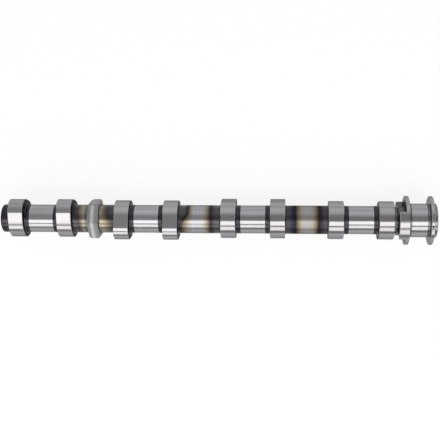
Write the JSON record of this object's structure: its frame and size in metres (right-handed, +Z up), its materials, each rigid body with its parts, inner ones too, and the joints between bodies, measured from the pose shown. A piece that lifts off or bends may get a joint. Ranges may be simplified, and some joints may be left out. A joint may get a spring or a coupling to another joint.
{
  "type": "camshaft",
  "caption": "One-piece overhead camshaft with paired lobes, ground journals, a spanner hexagon, thrust collars and a windowed sensor ring.",
  "frame": {"origin": "on the shaft's axis, in the end face of the drive nose", "axes": "+X along the shaft and out of the drive end, +Z up with the shaft lying on its side"},
  "size_m": [0.3875, 0.043, 0.043],
  "materials": {
    "steel": "ground"
  },
  "bodies": {
    "root": {"camshaft": "steel"}
  },
  "joints": []
}
